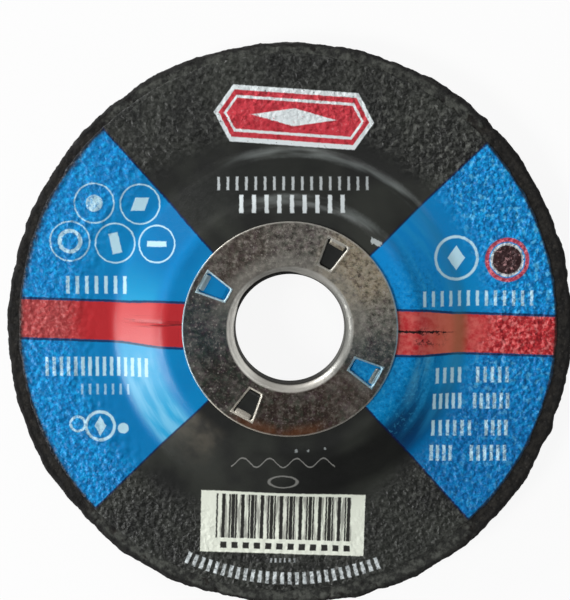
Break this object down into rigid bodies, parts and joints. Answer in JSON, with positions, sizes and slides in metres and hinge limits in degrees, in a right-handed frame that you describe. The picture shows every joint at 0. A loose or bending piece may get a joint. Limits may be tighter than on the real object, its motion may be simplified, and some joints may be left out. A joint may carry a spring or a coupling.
{
  "type": "depressed-centre grinding wheel",
  "caption": "Depressed-centre grinding wheel: a dished disc of bonded abrasive with a raised hub, a printed paper back and a pressed steel ring round its bore.",
  "frame": {"origin": "on the bore's axis, in the plane of the flat grinding face that the wheel lies on", "axes": "+Z along the bore, out of the raised and printed back; +X to the right and +Y to the top of the print as it is read"},
  "size_m": [0.115, 0.115, 0.0116],
  "materials": {
    "bonded_abrasive": "coarse dark brown-black grain in resin, rough at the rim",
    "pressed_steel": "dull stained steel with dark pits and a lighter worn lip",
    "printed_paper": "blue and black print with a red bar, satin, with the grain showing through"
  },
  "bodies": {
    "root": {"grinding_body": "bonded_abrasive", "hub_ring": "pressed_steel", "label": "printed_paper"}
  },
  "joints": []
}
